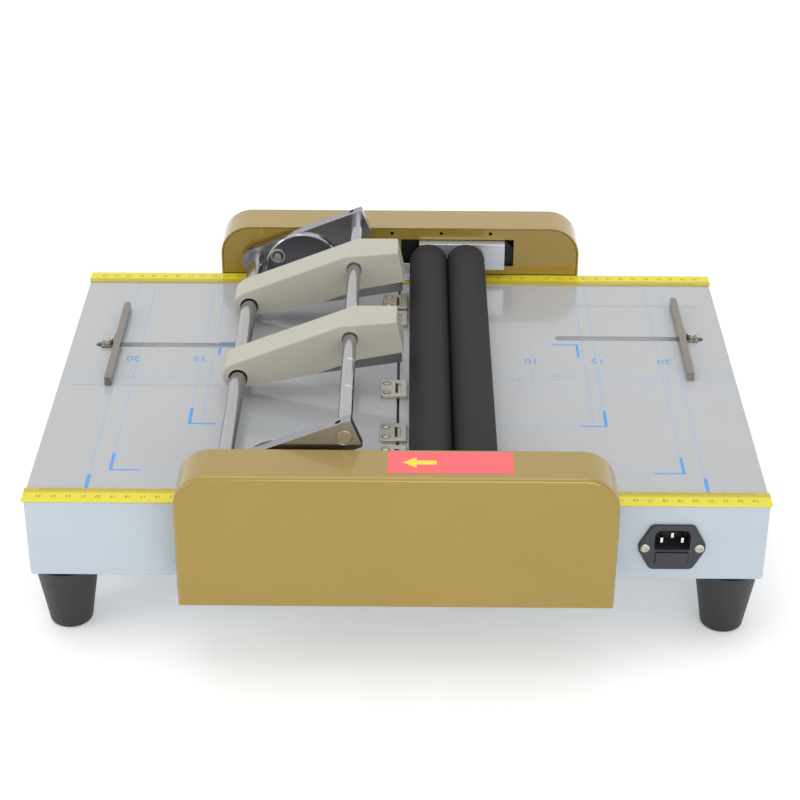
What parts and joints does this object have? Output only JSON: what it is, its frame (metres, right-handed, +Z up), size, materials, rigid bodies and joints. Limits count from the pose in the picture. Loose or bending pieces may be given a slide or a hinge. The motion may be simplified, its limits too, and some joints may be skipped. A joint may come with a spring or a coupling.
{
  "type": "electric booklet maker",
  "caption": "Desktop booklet maker: sliding saddle-stapling heads on a swinging two-rod frame beside a two-roller paper folder, on a flat table with rulers and paper stops.",
  "frame": {"origin": "on the floor under the centre of the table", "axes": "+X along the table from the stapling side to the delivery side, +Y towards the operator, +Z up"},
  "size_m": [0.5024, 0.417, 0.1759],
  "materials": {
    "painted_base": "satin light grey paint",
    "table_paint": "semi-gloss light grey paint with printed scales",
    "gold_paint": "satin gold paint",
    "ruler_tape": "yellow printed steel tape",
    "black_rubber": "matte ground rubber",
    "foot_rubber": "satin moulded rubber",
    "polished_steel": "ground and polished steel",
    "lever_steel": "bright machined steel",
    "nickel_plate": "satin nickel plate",
    "zinc_plate": "bright zinc plate",
    "bright_fastener": "plated fastener",
    "black_oxide": "black oxide",
    "shaft_steel": "ground steel",
    "gear_steel": "machined steel",
    "nylon_gear": "moulded nylon",
    "bronze_bush": "sintered bronze",
    "motor_case": "dark painted steel",
    "board": "green circuit board",
    "beige_cover": "satin beige paint",
    "inlet_black": "black moulded plastic",
    "pin_metal": "nickel-plated contacts",
    "button_green": "green moulded plastic"
  },
  "bodies": {
    "frame": {"base_tray": "painted_base", "table_left": "table_paint", "table_right": "table_paint", "rulers": "ruler_tape", "stop_rails": "zinc_plate", "anvils": "nickel_plate", "anvil_rail": "zinc_plate", "screws": "bright_fastener", "feet": "foot_rubber", "housing_rear_shell": "gold_paint", "housing_operator_shell": "gold_paint", "housing_panels": "gold_paint", "side_frames": "zinc_plate", "bearing_blocks": "zinc_plate", "roller_bearings": "shaft_steel", "pivot_bushes": "bronze_bush", "roller_motor": "motor_case", "staple_motor": "motor_case", "staple_motor_bracket": "zinc_plate", "knife_motor": "motor_case", "knife_guides": "zinc_plate", "control_board": "board", "power_inlet": "inlet_black", "inlet_pins": "pin_metal", "switch_holders": "inlet_black", "roller_end_brackets": "zinc_plate"},
    "staple_frame": {"lever_rear": "lever_steel", "lever_operator": "lever_steel", "lever_discs": "polished_steel", "lever_bolts": "bright_fastener", "lever_grub_screws": "black_oxide", "pivot_rod": "polished_steel", "head_rod": "polished_steel", "sector_gear": "gear_steel"},
    "staple_pinion": {"staple_motor_pinion": "gear_steel"},
    "roller_left": {"roller_left_sleeve": "black_rubber", "roller_left_shaft": "shaft_steel", "roller_left_gear": "nylon_gear"},
    "roller_right": {"roller_right_sleeve": "black_rubber", "roller_right_shaft": "shaft_steel", "roller_right_gear": "nylon_gear"},
    "idler": {"idler_gear": "nylon_gear"},
    "roller_pinion": {"roller_motor_pinion": "gear_steel"},
    "knife": {"fold_knife": "zinc_plate"},
    "cam": {"cam_shaft": "shaft_steel"},
    "left_stop": {"left_stop": "polished_steel"},
    "right_stop": {"right_stop": "polished_steel"},
    "left_nut": {"left_stop_nut": "bright_fastener"},
    "right_nut": {"right_stop_nut": "bright_fastener"},
    "fuse_holder": {"fuse_drawer": "inlet_black"},
    "rocker": {"power_rocker": "inlet_black"},
    "button": {"start_button": "button_green"},
    "head_1": {"head_1_cover": "beige_cover", "head_1_chassis": "zinc_plate"},
    "magazine_1": {"head_1_magazine": "nickel_plate"},
    "pusher_1": {"head_1_pusher": "nylon_gear"},
    "head_2": {"head_2_cover": "beige_cover", "head_2_chassis": "zinc_plate"},
    "magazine_2": {"head_2_magazine": "nickel_plate"},
    "pusher_2": {"head_2_pusher": "nylon_gear"}
  },
  "joints": [
    {"name": "staple_swing", "type": "hinge", "parent": "frame", "child": "staple_frame", "pos_m": [-0.116, 0, 0.129], "axis": [0, 1, 0], "range_deg": [0, 12.6], "stiffness_Nm_per_rad": 6, "springref_deg": -22.92},
    {"name": "staple_pinion_turn", "type": "hinge", "parent": "frame", "child": "staple_pinion", "pos_m": [-0.07797, 0, 0.07469], "axis": [0, 1, 0], "range_deg": [-57, 0.2]},
    {"name": "roller_left_turn", "type": "hinge", "parent": "frame", "child": "roller_left", "pos_m": [0.023, 0, 0.129], "axis": [0, 1, 0], "continuous": true},
    {"name": "roller_right_turn", "type": "hinge", "parent": "frame", "child": "roller_right", "pos_m": [0.0533, 0, 0.129], "axis": [0, 1, 0], "continuous": true},
    {"name": "idler_turn", "type": "hinge", "parent": "frame", "child": "idler", "pos_m": [0.023, 0, 0.0987], "axis": [0, 1, 0], "continuous": true},
    {"name": "roller_pinion_turn", "type": "hinge", "parent": "frame", "child": "roller_pinion", "pos_m": [0.0037, 0, 0.0794], "axis": [0, 1, 0], "continuous": true},
    {"name": "cam_turn", "type": "hinge", "parent": "frame", "child": "cam", "pos_m": [0.03815, 0, 0.083], "axis": [0, 1, 0], "range_deg": [0, 241]},
    {"name": "knife_lift", "type": "slide", "parent": "frame", "child": "knife", "axis": [0, 0, 1], "range_m": [0, 0.0135]},
    {"name": "left_stop_slide", "type": "slide", "parent": "frame", "child": "left_stop", "axis": [1, 0, 0], "range_m": [0, 0.085]},
    {"name": "right_stop_slide", "type": "slide", "parent": "frame", "child": "right_stop", "axis": [1, 0, 0], "range_m": [-0.085, 0]},
    {"name": "left_nut_turn", "type": "hinge", "parent": "left_stop", "child": "left_nut", "pos_m": [-0.2215, 0.05, 0.114], "axis": [0, 0, 1], "range_deg": [0, 180]},
    {"name": "right_nut_turn", "type": "hinge", "parent": "right_stop", "child": "right_nut", "pos_m": [0.2245, 0.065, 0.114], "axis": [0, 0, 1], "range_deg": [0, 180]},
    {"name": "fuse_drawer_slide", "type": "slide", "parent": "frame", "child": "fuse_holder", "axis": [0, -1, 0], "range_m": [0, 0.015]},
    {"name": "rocker_tilt", "type": "hinge", "parent": "frame", "child": "rocker", "pos_m": [-0.215, 0.167, 0.082], "axis": [1, 0, 0], "range_deg": [-8, 8]},
    {"name": "start_press", "type": "slide", "parent": "frame", "child": "button", "axis": [0, -1, 0], "range_m": [0, 0.003], "stiffness_N_per_m": 300, "springref_m": -0.002},
    {"name": "head_1_slide", "type": "slide", "parent": "staple_frame", "child": "head_1", "axis": [0, 1, 0], "range_m": [-0.085, 0.043]},
    {"name": "magazine_1_tilt", "type": "hinge", "parent": "head_1", "child": "magazine_1", "pos_m": [-0.116, 0.0947, 0.129], "axis": [0, 1, 0], "range_deg": [-5, 0], "stiffness_Nm_per_rad": 0.3, "springref_deg": 17.19},
    {"name": "pusher_1_slide", "type": "slide", "parent": "magazine_1", "child": "pusher_1", "axis": [0.9869, 0, 0.1616], "range_m": [-0.07, 0], "stiffness_N_per_m": 20, "springref_m": 0.03},
    {"name": "head_2_slide", "type": "slide", "parent": "staple_frame", "child": "head_2", "axis": [0, 1, 0], "range_m": [-0.12, 0.085]},
    {"name": "magazine_2_tilt", "type": "hinge", "parent": "head_2", "child": "magazine_2", "pos_m": [-0.116, -0.0188, 0.129], "axis": [0, 1, 0], "range_deg": [-5, 0], "stiffness_Nm_per_rad": 0.3, "springref_deg": 17.19},
    {"name": "pusher_2_slide", "type": "slide", "parent": "magazine_2", "child": "pusher_2", "axis": [0.9869, 0, 0.1616], "range_m": [-0.07, 0], "stiffness_N_per_m": 20, "springref_m": 0.03}
  ],
  "couplings": [
    {"joint": "staple_pinion_turn", "follows": "staple_swing", "ratio": -4.5},
    {"joint": "roller_right_turn", "follows": "roller_left_turn", "ratio": -1},
    {"joint": "idler_turn", "follows": "roller_left_turn", "ratio": -1},
    {"joint": "roller_pinion_turn", "follows": "roller_left_turn", "ratio": 1.25},
    {"joint": "cam_turn", "follows": "knife_lift", "rad_per_m": 310.28}
  ]
}
